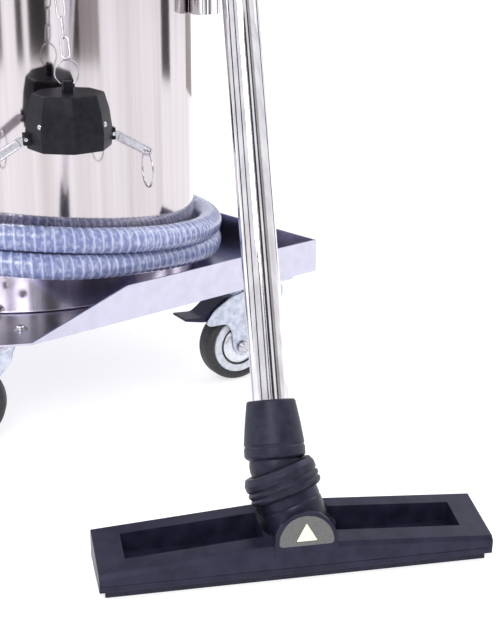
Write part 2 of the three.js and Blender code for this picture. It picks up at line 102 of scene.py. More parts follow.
INLET_Z = 600
CUFF_END = Vector((26, 217, 1190))
HAND_TUBE_END = Vector((90, 188, 1190))


# ---------- placing ----------
def radians(degrees):
    return math.radians(degrees)


def polar(azimuth, radius, z):
    return Vector((math.cos(radians(azimuth)) * radius, math.sin(radians(azimuth)) * radius, z))


def at(point):
    """A point of the machine's frame in millimetres, as metres in the row frame."""
    return AXIS + Vector(point) * MM


def stand(origin, direction=(0, 0, 1)):
    """Puts what is built along +Z at a point, along a direction."""
    turn = Vector((0, 0, 1)).rotation_difference(Vector(direction)).to_matrix().to_4x4()
    return Matrix.Translation(origin) @ turn


def turned_to(azimuth, origin=(0, 0, 0)):
    return Matrix.Translation(origin) @ Matrix.Rotation(radians(azimuth), 4, "Z")


UPRIGHT = Matrix.Rotation(radians(90), 4, "X")       # an outline's Y becomes Z, its depth -Y
SIDEWAYS = Matrix.Rotation(radians(-90), 4, "X")     # what is built along Z lies along Y
ACROSS = Matrix.Rotation(radians(90), 4, "Y")        # what is built along Z lies along X
# What is built along Z points out of the tank's front, at the inlet's height.
OUT_OF_INLET = Matrix.Translation((0, 0, INLET_Z)) @ UPRIGHT


# ---------- mesh building ----------
def rounded(outline, radius, closed=False, steps=5):
    """The outline with every corner eased by a short curve."""
    made = []
    for i, corner in enumerate(outline):
        if not closed and i in (0, len(outline) - 1):
            made.append(tuple(corner))
            continue
        here = Vector(corner)
        before = Vector(outline[i - 1]) - here
        after = Vector(outline[(i + 1) % len(outline)]) - here
        reach = min(radius, before.length * 0.45, after.length * 0.45)
        start = here + before.normalized() * reach
        end = here + after.normalized() * reach
        for k in range(steps + 1):
            t = k / steps
            made.append(tuple((1 - t) ** 2 * start + 2 * t * (1 - t) * here + t * t * end))
    return made


def smooth_curve(points, spacing):
    """A centripetal Catmull-Rom curve through the points, cut into even steps."""
    ends = [2 * points[0] - points[1], *points, 2 * points[-1] - points[-2]]
    fine = [points[0]]
    for p0, p1, p2, p3 in zip(ends, ends[1:], ends[2:], ends[3:]):
        t1 = (p1 - p0).length ** 0.5
        t2 = t1 + (p2 - p1).length ** 0.5
        t3 = t2 + (p3 - p2).length ** 0.5
        steps = max(4, int((p2 - p1).length / spacing * 4))
        for k in range(1, steps + 1):
            t = t1 + (t2 - t1) * k / steps
            a1 = p0 + (p1 - p0) * (t / t1)
            a2 = p1 + (p2 - p1) * ((t - t1) / (t2 - t1))
            a3 = p2 + (p3 - p2) * ((t - t2) / (t3 - t2))
            b1 = a1 + (a2 - a1) * (t / t2)
            b2 = a2 + (a3 - a2) * ((t - t1) / (t3 - t1))
            fine.append(b1 + (b2 - b1) * ((t - t1) / (t2 - t1)))
    total = sum((b - a).length for a, b in zip(fine, fine[1:]))
    count = max(2, round(total / spacing))
    even = [fine[0]]
    walked = 0.0
    for a, b in zip(fine, fine[1:]):
        step = (b - a).length
        while len(even) < count and walked + step >= len(even) * total / count:
            even.append(a.lerp(b, (len(even) * total / count - walked) / step))
        walked += step
    return even + [fine[-1]]


class Shape:
    """The points and faces of one piece, in millimetres."""

    def __init__(self):
        self.points = []
        self.faces = []

    def add(self, points, faces, place=Matrix()):
        start = len(self.points)
        self.points += [place @ Vector(p) for p in points]
        self.faces += [[start + i for i in face] for face in faces]
        return self

    def turn(self, profile, place=Matrix(), segments=96, wave=None):
        """A solid of revolution about Z from [radius, height] pairs, up the outside first."""
        points, faces, rings = [], [], []
        for radius, z in profile:
            sides = 1 if radius < 1e-6 else segments
            rings.append([len(points) + k for k in range(sides)])
            for k in range(sides):
                angle = 2 * math.pi * k / segments
                r = radius * (wave(angle) if wave else 1)
                points.append((r * math.cos(angle), r * math.sin(angle), z))
        for low, high in zip(rings, rings[1:]):
            for k in range(segments):
                n = (k + 1) % segments
                if len(low) == 1 and len(high) > 1:
                    faces.append([low[0], high[n], high[k]])
                elif len(high) == 1 and len(low) > 1:
                    faces.append([low[k], low[n], high[0]])
                elif len(low) > 1:
                    faces.append([low[k], low[n], high[n], high[k]])
        return self.add(points, faces, place)

    def sweep(self, path, radius, place=Matrix(), sides=16, loop=False):
        """A round tube along a path. radius is a number, or a function of step and angle."""
        count = len(path)
        points, faces = [], []
        last = (path[1] - path[0]).normalized()
        side = last.orthogonal().normalized()
        for i, here in enumerate(path):
            before = path[i - 1] if i or loop else here
            after = path[(i + 1) % count] if i < count - 1 or loop else here
            tangent = (after - before).normalized()
            side = last.rotation_difference(tangent) @ side
            side = (side - tangent * side.dot(tangent)).normalized()
            last = tangent
            other = tangent.cross(side)
            for k in range(sides):
                angle = 2 * math.pi * k / sides
                r = radius(i, angle) if callable(radius) else radius
                points.append(here + (side * math.cos(angle) + other * math.sin(angle)) * r)
        for i in range(count if loop else count - 1):
            a, b = i * sides, (i + 1) % count * sides
            for k in range(sides):
                n = (k + 1) % sides
                faces.append([a + k, a + n, b + n, b + k])
        if not loop:
            faces.append(list(range(sides))[::-1])
            faces.append([(count - 1) * sides + k for k in range(sides)])
        return self.add(points, faces, place)

    def slab(self, outline, low, high, place=Matrix()):
        """An outline in X and Y, anticlockwise, made solid from low to high."""
        count = len(outline)
        points = [(x, y, low) for x, y in outline] + [(x, y, high) for x, y in outline]
        faces = [list(range(count))[::-1], list(range(count, 2 * count))]
        for k in range(count):
            n = (k + 1) % count
            faces.append([k, n, count + n, count + k])
        return self.add(points, faces, place)


def rectangle(x, y, corner):
    half = [(-x / 2, -y / 2), (x / 2, -y / 2), (x / 2, y / 2), (-x / 2, y / 2)]
    return rounded(half, corner, closed=True)


def circle(radius, count=40):
    return [Vector((math.cos(2 * math.pi * k / count) * radius,
                    math.sin(2 * math.pi * k / count) * radius, 0)) for k in range(count)]


def piece(name, shape, look, body, stands_for=(), bevel=0, crease=32, weld=True):
    """Makes the Blender object of a shape, riding on its CAD body."""
    mesh = bpy.data.meshes.new(name)
    mesh.from_pydata([at(p) for p in shape.points], [], shape.faces)
    if weld:
        edit = bmesh.new()
        edit.from_mesh(mesh)
        bmesh.ops.remove_doubles(edit, verts=edit.verts, dist=2e-6)
        bmesh.ops.recalc_face_normals(edit, faces=edit.faces)
        edit.to_mesh(mesh)
        edit.free()
    mesh.materials.append(look)
    mesh.shade_smooth()
    mesh.set_sharp_from_angle(angle=radians(crease))
    made = bpy.data.objects.new(name, mesh)
    bpy.context.scene.collection.objects.link(made)
    if bevel:
        ease_edges(made, bevel)
    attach(made, body)
    if stands_for:
        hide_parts(*([stands_for] if isinstance(stands_for, str) else stands_for))
    return made


def ease_edges(thing, width):
    rounding = thing.modifiers.new("eased_edges", "BEVEL")
    rounding.width = width * MM
    rounding.segments = 3
    rounding.limit_method = "ANGLE"
    rounding.angle_limit = radians(32)
    rounding.harden_normals = True


def keep_node(name, look, width=0.8):
    """A CAD node that is shown as it is, with its edges eased and a real material."""
    node = NODES[name]
    joined = node.modifiers.new("joined", "WELD")
    joined.merge_threshold = 1e-5
    ease_edges(node, width)
    node.data.materials.clear()
    node.data.materials.append(look)


# ---------- materials ----------
def new_material(name, color, metallic, roughness, **sockets):
    made = bpy.data.materials.new(name)
    made.use_nodes = True
    shader = made.node_tree.nodes["Principled BSDF"]
    shader.inputs["Base Color"].default_value = (*color, 1)
    shader.inputs["Metallic"].default_value = metallic
    shader.inputs["Roughness"].default_value = roughness
    for socket, value in sockets.items():
        shader.inputs[socket.replace("_", " ")].default_value = value
    return made


def grain(made, stretch, scale, dark, light, rough=None, bump=0.0, detail=5.0):
    """Noise over the surface that moves its colour, its roughness and its relief."""
    nodes, links = made.node_tree.nodes, made.node_tree.links
    shader = nodes["Principled BSDF"]
    place = nodes.new("ShaderNodeTexCoord")
    mapping = nodes.new("ShaderNodeMapping")
    mapping.inputs["Scale"].default_value = stretch
    noise = nodes.new("ShaderNodeTexNoise")
    noise.inputs["Scale"].default_value = scale
    noise.inputs["Detail"].default_value = detail
    links.new(place.outputs["Object"], mapping.inputs["Vector"])
    links.new(mapping.outputs["Vector"], noise.inputs["Vector"])
    ramp = nodes.new("ShaderNodeValToRGB")
    ramp.color_ramp.elements[0].position = 0.35
    ramp.color_ramp.elements[1].position = 0.65
    ramp.color_ramp.elements[0].color = (*dark, 1)
    ramp.color_ramp.elements[1].color = (*light, 1)
    links.new(noise.outputs["Fac"], ramp.inputs["Fac"])
    links.new(ramp.outputs["Color"], shader.inputs["Base Color"])
    if rough:
        spread = nodes.new("ShaderNodeMapRange")
        spread.inputs["To Min"].default_value = rough[0]
        spread.inputs["To Max"].default_value = rough[1]
        links.new(noise.outputs["Fac"], spread.inputs["Value"])
        links.new(spread.outputs["Result"], shader.inputs["Roughness"])
    if bump:
        relief = nodes.new("ShaderNodeBump")
        relief.inputs["Strength"].default_value = 1.0
        relief.inputs["Distance"].default_value = bump * MM
        links.new(noise.outputs["Fac"], relief.inputs["Height"])
        links.new(relief.outputs["Normal"], shader.inputs["Normal"])
    return made


def make_hose_material():
    """Clear blue-lavender vinyl, deeper blue between the ribs; the pale rib crests are a painted
    highlight, and pale noise patches over it are painted highlights.
    """
    made = new_material("hose_vinyl", (0.6, 0.62, 0.85), 0.0, 0.22, Coat_Weight=0.5,
                        Transmission_Weight=0.15, IOR=1.45)
    nodes, links = made.node_tree.nodes, made.node_tree.links
    shader = nodes["Principled BSDF"]
    # The rib heights colour the hose: a painted highlight along each rib crest, deeper blue between
    # them.
    rib = nodes.new("ShaderNodeAttribute")
    rib.attribute_name = "rib"
    ramp = nodes.new("ShaderNodeValToRGB")
    ramp.color_ramp.elements[0].color = (0.20, 0.24, 0.46, 1)
    ramp.color_ramp.elements[1].color = (0.62, 0.66, 0.85, 1)
    ramp.color_ramp.elements.new(0.5).color = (0.26, 0.30, 0.54, 1)
    cloud = nodes.new("ShaderNodeTexNoise")
    cloud.inputs["Scale"].default_value = 120
    cloud.inputs["Detail"].default_value = 5
    relief = nodes.new("ShaderNodeBump")
    relief.inputs["Distance"].default_value = 0.5 * MM
    links.new(rib.outputs["Fac"], ramp.inputs["Fac"])
    # Noise patches mixed towards pale lavender: painted highlights on the vinyl.
    painted_highlight_patches = nodes.new("ShaderNodeMapRange")
    painted_highlight_patches.inputs["From Min"].default_value = 0.46
    painted_highlight_patches.inputs["From Max"].default_value = 0.7
    painted_highlight_patches.inputs["To Max"].default_value = 0.5
    painted_highlight_mix = nodes.new("ShaderNodeMix")
    painted_highlight_mix.data_type = "RGBA"
    links.new(cloud.outputs["Fac"], painted_highlight_patches.inputs["Value"])
    links.new(painted_highlight_patches.outputs["Result"], painted_highlight_mix.inputs["Factor"])
    links.new(ramp.outputs["Color"], painted_highlight_mix.inputs[6])
    painted_highlight_mix.inputs[7].default_value = (0.78, 0.82, 0.97, 1)
    links.new(painted_highlight_mix.outputs[2], shader.inputs["Base Color"])
    links.new(cloud.outputs["Fac"], relief.inputs["Height"])
    links.new(relief.outputs["Normal"], shader.inputs["Normal"])
    return made


TANK_LOOK = grain(new_material("tank_steel", (0.55, 0.51, 0.53), 1.0, 0.08),
                  (60, 60, 0.8), 1.0, (0.50, 0.455, 0.465), (0.62, 0.58, 0.61), (0.05, 0.13), 0.02)
TRAY_LOOK = grain(new_material("tray_steel", (0.76, 0.75, 0.84), 1.0, 0.24),
                  (4, 60, 60), 1.0, (0.56, 0.55, 0.67), (0.61, 0.60, 0.73), (0.2, 0.28), 0.006)
CHROME_LOOK = grain(new_material("chrome_tube", (0.78, 0.77, 0.79), 1.0, 0.06),
                    (90, 90, 2), 1.0, (0.66, 0.64, 0.67), (0.84, 0.83, 0.86), (0.03, 0.12), 0.01)
BRIGHT_LOOK = grain(new_material("bright_steel", (0.8, 0.8, 0.83), 1.0, 0.15),
                    (1, 1, 1), 240, (0.46, 0.45, 0.49), (0.62, 0.61, 0.66), (0.12, 0.24), 0.015)
ZINC_LOOK = grain(new_material("zinc_plate", (0.66, 0.71, 0.78), 1.0, 0.26),
                  (1, 1, 1), 130, (0.42, 0.45, 0.54), (0.62, 0.65, 0.76), (0.2, 0.36), 0.03)
DISC_LOOK = grain(new_material("wheel_disc", (0.75, 0.77, 0.82), 1.0, 0.34),
                  (1, 1, 1), 300, (0.66, 0.68, 0.74), (0.82, 0.84, 0.90), (0.28, 0.42), 0.02)
PLASTIC_LOOK = grain(new_material("black_plastic", (0.02, 0.02, 0.035), 0.0, 0.36,
                                  Specular_IOR_Level=0.34,
                                  Specular_Tint=(0.74, 0.76, 1.0, 1)),
                     (1, 1, 1), 55, (0.008, 0.008, 0.018), (0.016, 0.016, 0.034), (0.3, 0.46), 0.05)
COVER_LOOK = grain(new_material("cover_plastic", (0.022, 0.022, 0.026), 0.0, 0.42),
                   (1, 1, 1), 700, (0.016, 0.016, 0.02), (0.03, 0.03, 0.036), (0.36, 0.5), 0.12)
CAP_LOOK = grain(new_material("cap_plastic", (0.008, 0.008, 0.013), 0.0, 0.4, Specular_IOR_Level=0.16),
                 (1, 1, 1), 120, (0.006, 0.006, 0.010), (0.012, 0.012, 0.018), (0.34, 0.48), 0.04)
RUBBER_LOOK = grain(new_material("soft_rubber", (0.01, 0.01, 0.02), 0.0, 0.45,
                                 Specular_IOR_Level=0.34,
                                 Specular_Tint=(0.76, 0.78, 1.0, 1)),
                    (1, 1, 1), 90, (0.008, 0.008, 0.016), (0.018, 0.018, 0.034), (0.36, 0.56), 0.05)
TYRE_LOOK = grain(new_material("tyre_rubber", (0.018, 0.018, 0.02), 0.0, 0.55),
                  (1, 1, 1), 260, (0.012, 0.012, 0.014), (0.03, 0.03, 0.034), (0.46, 0.66), 0.08)
WHEEL_LOOK = grain(new_material("wheel_plastic", (0.55, 0.57, 0.62), 0.0, 0.4),
                   (1, 1, 1), 200, (0.48, 0.50, 0.56), (0.62, 0.64, 0.70), (0.34, 0.5), 0.04)
PLATE_LOOK = grain(new_material("grey_label", (0.11, 0.11, 0.11), 0.0, 0.5),
                   (1, 1, 1), 900, (0.085, 0.085, 0.085), (0.14, 0.14, 0.14), (0.42, 0.6), 0.05)
MARK_LOOK = grain(new_material("pale_mark", (0.86, 0.86, 0.70), 0.0, 0.5),
                  (1, 1, 1), 400, (0.86, 0.84, 0.56), (0.92, 0.90, 0.68), (0.42, 0.58), 0.02)
PAPER_LOOK = grain(new_material("filter_paper", (0.8, 0.77, 0.68), 0.0, 0.9),
                   (1, 1, 1), 500, (0.72, 0.69, 0.60), (0.86, 0.83, 0.76), (0.82, 0.96), 0.2)
SWITCH_LOOK = grain(new_material("switch_red", (0.5, 0.03, 0.03), 0.0, 0.25, Coat_Weight=0.4),
                    (1, 1, 1), 150, (0.42, 0.02, 0.02), (0.56, 0.05, 0.04), (0.2, 0.34), 0.02)
HOSE_LOOK = make_hose_material()


def make_wand_material():
    """Chrome whose faint drawing lines run along the slanted wand."""
    made = new_material("wand_chrome", (0.78, 0.77, 0.79), 1.0, 0.05)
    grain(made, (90, 90, 2), 1.0, (0.66, 0.64, 0.67), (0.86, 0.85, 0.88), (0.03, 0.1), 0.01)
    mapping = next(n for n in made.node_tree.nodes if n.type == "MAPPING")
    turn = WAND_DIRECTION.rotation_difference(Vector((0, 0, 1)))
    mapping.inputs["Rotation"].default_value = turn.to_euler()
    return made


WAND_LOOK = make_wand_material()


# ---------- camera, light and floor ----------
CAMERA_PLACE = (1613.6, -1013.6, 690.7)
CAMERA_TILT = 71.72              # degrees up from straight down
CAMERA_HEADING = 48.47           # degrees round from looking along +Y
CAMERA_LENS = 80.64


def make_stage():
    scene = bpy.context.scene
    camera = bpy.data.objects.new("camera", bpy.data.cameras.new("camera"))
    camera.location = at(CAMERA_PLACE)
    camera.rotation_euler = (radians(CAMERA_TILT), 0, radians(CAMERA_HEADING))
    camera.data.lens = CAMERA_LENS
    camera.data.clip_end = 60
    scene.collection.objects.link(camera)
    scene.camera = camera
    scene.view_settings.view_transform = "Standard"

    world = bpy.data.worlds.new("studio")
    world.use_nodes = True
    world.node_tree.nodes["Background"].inputs["Color"].default_value = (0.97, 0.97, 1.0, 1)
    world.node_tree.nodes["Background"].inputs["Strength"].default_value = 1.0
    scene.world = world

    def lamp(name, place, aim, size, power):
        light = bpy.data.lights.new(name, "AREA")
        light.size = size
        light.energy = power
        made = bpy.data.objects.new(name, light)
        made.location = place
        made.rotation_euler = (Vector(aim) - Vector(place)).to_track_quat("-Z", "Y").to_euler()
        scene.collection.objects.link(made)

    lamp("key", (2.2, -2.4, 2.6), (0, 0, 0.3), 1.6, 70)
    lamp("fill", (-2.6, -1.6, 2.2), (0, 0, 0.4), 2.2, 40)
    lamp("back", (0.6, 3.0, 2.4), (0, 0, 0.5), 2.2, 40)

    def sheet_of(name, corners, color, glow=0):
        mesh = bpy.data.meshes.new(name)
        mesh.from_pydata(corners, [], [(0, 1, 2, 3)])
        made = new_material(name, color, 0.0, 0.8, Emission_Color=(1, 1, 1, 1),
                            Emission_Strength=glow)
        mesh.materials.append(grain(made, (1, 1, 1), 3, tuple(c * 0.97 for c in color), color))
        made = bpy.data.objects.new(name, mesh)
        scene.collection.objects.link(made)
        return made

    sheet_of("floor", [(-30, -30, 0), (30, -30, 0), (30, 30, 0), (-30, 30, 0)], (0.5, 0.5, 0.5), 0.62)
    for number, (azimuth, width, shade) in enumerate(DARK_CARDS):
        middle = at(polar(azimuth, CARD_DISTANCE, 0))
        along = polar(azimuth + 90, width / 2, 0) * MM
        up = Vector((0, 0, CARD_HEIGHT * MM))
        card = sheet_of(f"studio_card_{number}",
                        [middle - along, middle + along, middle + along + up, middle - along + up],
                        (shade, shade * 0.92, shade * 0.9))
        card.visible_camera = False
        card.visible_diffuse = False
        card.visible_shadow = False
        card.visible_transmission = False


# Dark studio cards stand on the floor round the machine, so that its bright metal has something
# to reflect: azimuth in degrees, width, and how dark.
CARD_DISTANCE = 2150
CARD_HEIGHT = 1900
DARK_CARDS = [
    (-43.5, 260, 0.13), (-30, 150, 0.02), (-19, 430, 0.015), (1.7, 290, 0.02), (12, 490, 0.34),
    (74, 380, 0.04), (116, 750, 0.34), (165, 420, 0.04), (-120, 420, 0.05), (-80, 260, 0.03),
]


# ---------- hose ----------
def coil_point(azimuth, level, radius=COIL_RADIUS):
    flat = polar(azimuth, radius, HOSE_RADIUS * level)
    return Matrix.Rotation(radians(COIL_TILT), 3, "X") @ flat + Vector((0, 0, COIL_MIDDLE_Z))


def hose_route():
    inlet = [
        Vector((-76, -352, 600)), Vector((-100, -352, 600)), Vector((-155, -332, 592)),
        Vector((-222, -272, 570)), polar(211, 304, 530), polar(194, 279, 480),
        polar(175, 261, 422), polar(155, 256.5, 345), polar(140, 256, 285),
        polar(128, 256, 246), polar(118, 255.5, 222),
    ]
    coil = [coil_point(azimuth, 1) for azimuth in range(105, -50, -20)]
    coil += [coil_point(azimuth, 1) for azimuth in range(-50, -211, -20)]
    for azimuth in range(-226, -351, -25):                   # down to the lower turn
        share = (-210 - azimuth) / 160
        coil.append(coil_point(azimuth, math.cos(math.pi * share)))
    coil.append(coil_point(-380, -1))
    leaving = [coil_point(-410, -1), coil_point(-428, -1, 262), coil_point(-444, -1, 278)]
    wand = [
        polar(258, 291.5, 226), polar(242, 291.5, 236), polar(224, 293, 258),
        polar(206, 296, 290), polar(188, 299, 330), polar(171, 302, 382), polar(158, 302, 450),
        polar(151, 301, 540), polar(147, 302, 660), polar(144, 303, 780), polar(140, 306, 900),
        Vector((-212, 228, 1010)), Vector((-160, 248, 1100)), Vector((-90, 252, 1162)),
        Vector((-16, 235, 1189)), CUFF_END + Vector((-0.91, 0.41, 0)).normalized(),
    ]
    return inlet + coil + leaving + wand


def make_hose():
    step = HOSE_PITCH / 6
    path = smooth_curve(hose_route(), step)

    def rib_height(i, angle):
        turn = i * step / HOSE_PITCH - angle / (2 * math.pi)
        return (0.5 + 0.5 * math.cos(2 * math.pi * turn)) ** 5

    sides = 18
    shape = Shape().sweep(path, lambda i, angle: HOSE_RADIUS - 0.6 + 0.6 * rib_height(i, angle),
                          sides=sides)
    hose = piece("suction_hose", shape, HOSE_LOOK, "machine",
                 ("hose_coil", "hose_inlet_run", "hose_wand_run"), crease=80, weld=False)
    # The rib heights also drive the hose material's painted highlight along each rib crest.
    rib = hose.data.attributes.new("rib", "FLOAT", "POINT")
    heights = [rib_height(i, 2 * math.pi * k / sides) for i in range(len(path)) for k in range(sides)]
    rib.data.foreach_set("value", heights)
    length = sum((b - a).length for a, b in zip(path, path[1:])) * MM
    ends = [make_hose_cuff(), make_hose_elbow()]
    at(path[0])
    [at(p) for p in path[::6] + path[-1:]]


def make_hose_cuff():
    direction = (CUFF_END - HAND_TUBE_END).normalized()
    start = HAND_TUBE_END + direction * 1.4
    length = (CUFF_END - start).length
    profile = [(0, 0), (23.6, 0), (24, 6), (22.6, 8), (22.6, 12), (24, 14), (24, 28)]
    for groove in range(3):
        z = 32 + groove * 9
        profile += [(22.8, z), (22.8, z + 5), (21.2, z + 6)]
    profile += [(21, length), (0, length)]
    shape = Shape().turn(rounded(profile, 1.5), stand(start, direction))
    return piece("hose_end_cuff", shape, RUBBER_LOOK, "machine", "hose_cuff")


def make_hose_elbow():
    bend = smooth_curve([
        Vector((0, -303.4, INLET_Z)), Vector((0, -322, INLET_Z)), Vector((-9, -338, INLET_Z)),
        Vector((-28, -349, INLET_Z)), Vector((-50, -352, INLET_Z)), Vector((-75, -352, INLET_Z)),
    ], 2.5)
    count = len(bend)
    shape = Shape().sweep(bend, lambda i, angle: 24 if i < 5 or i > count - 6 else 22, sides=48)
    return piece("hose_inlet_elbow", shape, PLASTIC_LOOK, "machine", "hose_coupler",
                 crease=50)


# ---------- tank, tray and head ----------
def make_tank():
    inner = TANK_RADIUS - 2.5
    profile = rounded([
        (0, TANK_BOTTOM), (TANK_RADIUS, TANK_BOTTOM), (TANK_RADIUS, TANK_TOP - 12),
        (TANK_RADIUS + 5, TANK_TOP - 8), (TANK_RADIUS + 5, TANK_TOP), (inner, TANK_TOP),
        (inner, TANK_BOTTOM + 3), (0, TANK_BOTTOM + 3),
    ], 3)
    shape = Shape().turn(profile, segments=256)
    piece("tank_shell", shape, TANK_LOOK, "machine", "tank", crease=40)

    flange = Shape()
    flange.turn(rounded([(21, 221), (25, 221), (25, 303), (21, 303), (21, 221)], 1),
                OUT_OF_INLET, segments=64)
    flange.turn(rounded([(23, 234), (39, 234), (39, 239), (23, 239), (23, 234)], 1.2),
                OUT_OF_INLET, segments=64)
    for k in range(4):
        screw = polar(45 + 90 * k, 33, 0)
        flange.turn(rounded([(0, 238), (3.4, 238), (3.0, 241), (0, 242)], 1),
                    OUT_OF_INLET @ Matrix.Translation(screw), segments=20)
    piece("inlet_pipe", flange, ZINC_LOOK, "machine", "inlet_adapter")

    low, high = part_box("tube_holder")
    middle = (low + high) / 2 - AXIS
    bottom, top = low.z / MM, high.z / MM
    socket = rounded([(17.5, bottom), (20, bottom), (20, top), (17.5, top), (17.5, bottom)], 0.8)
    shape = Shape().turn(socket, Matrix.Translation((middle.x / MM, middle.y / MM, 0)), segments=72)
    piece("spare_tube_socket", shape, CHROME_LOOK, "machine", "tube_holder")


def make_tray():
    keep_node("tray", TRAY_LOOK, 0.9)
    bolts = Shape()
    head = rounded([(0, 0), (8.5, 0), (8.5, 1.2), (5.8, 1.4), (5.6, 3.6), (3.6, 5.6), (0, 6.2)], 0.8)
    for x, y, _ in CASTORS.values():
        for sx in (-1, 1):
            for sy in (-1, 1):
                place = Matrix.Translation((x + sx * 29, y + sy * 24, TRAY_FLOOR))
                bolts.turn(head, place, segments=28)
    piece("tray_bolts", bolts, BRIGHT_LOOK, "machine")


def make_head():
    seat = TANK_TOP + GAP
    gasket = rounded([(225, seat), (237, seat), (237, seat + 4), (225, seat + 4), (225, seat)], 1.2)
    piece("tank_seal", Shape().turn(gasket, segments=160), RUBBER_LOOK, "machine",
          "tank_gasket")
    base = seat + 4 + GAP
    rim = rounded([(24, base), (238, base), (238, base + 6), (24, base + 6), (24, base)], 1.5)
    piece("head_ring", Shape().turn(rim, segments=160), COVER_LOOK, "machine",
          "head_base")

    bottom = base + 6 + GAP
    top = bottom + 190
    outer = 232
    wall = 4
    groove = bottom + 52
    profile = rounded([
        (outer - wall, bottom), (outer, bottom), (outer, groove), (outer - 2, groove + 1),
        (outer - 2, groove + 5), (outer, groove + 6), (outer, bottom + 62), (outer - 14, top - 60),
        (outer - 60, top - 14), (outer - 110, top), (0, top), (0, top - wall),
        (outer - 112, top - wall), (outer - 64, top - 18), (outer - 18, top - 62),
        (outer - wall, bottom + 58), (outer - wall, bottom),
    ], 9)
    piece("head_shell", Shape().turn(profile, segments=160), COVER_LOOK, "machine",
          "head_cover", crease=50)

    keep_node("power_switch", SWITCH_LOOK, 0.6)
    make_fan_and_motor(bottom + 2)


def make_fan_and_motor(bottom):
    fan = Shape()
    fan.turn(rounded([(5, bottom + 4), (70, bottom + 4), (70, bottom + 5.5), (5, bottom + 5.5),
                      (5, bottom + 4)], 0.4))
    fan.turn(rounded([(30, bottom + 20.5), (70, bottom + 20.5), (70, bottom + 22),
                      (30, bottom + 22), (30, bottom + 20.5)], 0.4))
    for k in range(9):
        blade = [(14 + 6 * t, 9 * math.sin(t / 3.2)) for t in range(10)]
        outline = blade + [(x, y + 1.2) for x, y in reversed(blade)]
        fan.slab(outline, bottom + 5, bottom + 21, turned_to(40 * k))
    piece("fan_wheel", fan, BRIGHT_LOOK, "fan", "motor_impeller", crease=40)
    shaft = rounded([(0, bottom), (4.6, bottom), (4.6, bottom + 34), (0, bottom + 34)], 1)
    piece("fan_shaft", Shape().turn(shaft, segments=32), ZINC_LOOK, "fan", "motor_shaft")
    foot = bottom + 36
    profile = [(0, foot), (74, foot), (74, foot + 20), (52, foot + 34)]
    for fin in range(8):
        z = foot + 38 + fin * 7
        profile += [(52, z), (49, z + 1), (49, z + 4), (52, z + 5)]
    profile += [(52, foot + 96), (30, foot + 108), (0, foot + 108)]
    piece("motor_can", Shape().turn(rounded(profile, 1.2)), WHEEL_LOOK, "machine",
          "suction_motor")


def make_filter():
    hang = TANK_TOP + 4

    def pleat(angle):
        return 1 - 0.05 * abs(math.sin(angle * 30))

    paper = Shape().turn([(82, 490), (94.5, 490), (94.5, hang - 10), (82, hang - 10), (82, 490)],
                         segments=480, wave=pleat)
    piece("filter_pleats", paper, PAPER_LOOK, "machine", crease=25)
    ends = Shape()
    ends.turn(rounded([(0, 470), (95, 470), (95, 484), (0, 484)], 3))
    ends.turn(rounded([(80, hang - 12), (95, hang - 12), (95, hang - 4), (80, hang - 4),
                       (80, hang - 12)], 2))
    piece("filter_ends", ends, RUBBER_LOOK, "machine", "filter_cartridge")

    cage = Shape()
    for z in (590, 620, 660, hang - 6):
        cage.turn(rounded([(36.5, z), (40, z), (40, z + 4), (36.5, z + 4), (36.5, z)], 1),
                  segments=64)
    cage.turn(rounded([(0, 590), (38, 590), (38, 594), (0, 594)], 1), segments=64)
    for k in range(10):
        rib = turned_to(36 * k)
        cage.slab(rectangle(3, 3, 0.8), 591, hang - 2, rib @ Matrix.Translation((38.4, 0, 0)))
    piece("float_basket", cage, PLASTIC_LOOK, "machine", "float_cage")
    middle = 594 + 28 + GAP
    ball = []
    for k in range(41):
        angle = radians(-90 + 4.5 * k)
        radius = 28 - (0.5 if k == 20 else 0)
        ball.append((max(0, math.cos(angle) * radius), middle + math.sin(angle) * radius))
    ball[0], ball[-1] = (0, middle - 28), (0, middle + 28)
    piece("float_sphere", Shape().turn(ball), WHEEL_LOOK, "float", "float_ball")


# ---------- castors ----------
def make_castor(name, x, y, azimuth):
    node = f"castor_{name}"
    local = turned_to(azimuth, (x, y, 0))
    top = TRAY_UNDERSIDE - GAP
    head = top - 8 - GAP

    plate = Shape()
    plate.slab(rectangle(80, 70, 9), top - 4, top, Matrix.Translation((x, y, 0)))
    piece(f"{node}_mount", plate, ZINC_LOOK, "machine", f"{node}_plate", bevel=0.8)
    race = rounded([(0, top - 8), (26, top - 8), (30, top - 6), (31, top - 4), (0, top - 4)], 1.5)
    piece(f"{node}_race", Shape().turn(race, local), ZINC_LOOK, "machine")

    cheek = rounded([
        (-28, head - 2), (-28, head - 22), (-6, head - 50), (20, WHEEL_RADIUS + 6),
        (28, WHEEL_RADIUS - 10), (CASTOR_TRAIL, WHEEL_RADIUS - 14), (44, WHEEL_RADIUS - 10),
        (50, WHEEL_RADIUS), (52, head - 60), (60, head - 47), (87, head - 47), (92, head - 41),
        (79, head - 25), (54, head - 10), (22, head - 2),
    ], 9, closed=True)
    fork = Shape()
    for side in (-1, 1):
        middle = Matrix.Translation((0, side * (FORK_INSIDE + 1.5), 0))
        fork.slab(cheek, -1.5, 1.5, local @ middle @ UPRIGHT)
    piece(f"{node}_yoke", fork, ZINC_LOOK, f"swivel_{name}", f"{node}_fork", bevel=1.1)
    crown = Shape()
    crown.turn(rounded([(0, head - 9), (31, head - 9), (33, head - 6), (32, head - 2),
                        (27, head), (0, head)], 2), local)
    bolt = rounded([(0, -29), (5, -29), (6.5, -27.6), (8.4, -27.4), (8.4, -24), (5, -23.4),
                    (5, 23.4), (8.4, 24), (8.4, 27.4), (6.5, 27.6), (5, 29), (0, 29)], 0.6)
    axle = local @ Matrix.Translation((CASTOR_TRAIL, 0, WHEEL_RADIUS)) @ SIDEWAYS
    crown.turn(bolt, axle, segments=36)
    piece(f"{node}_crown", crown, BRIGHT_LOOK, f"swivel_{name}")
    make_wheel(node, name, axle)
    if name in BRAKED:
        make_pedal(node, name, local, head)


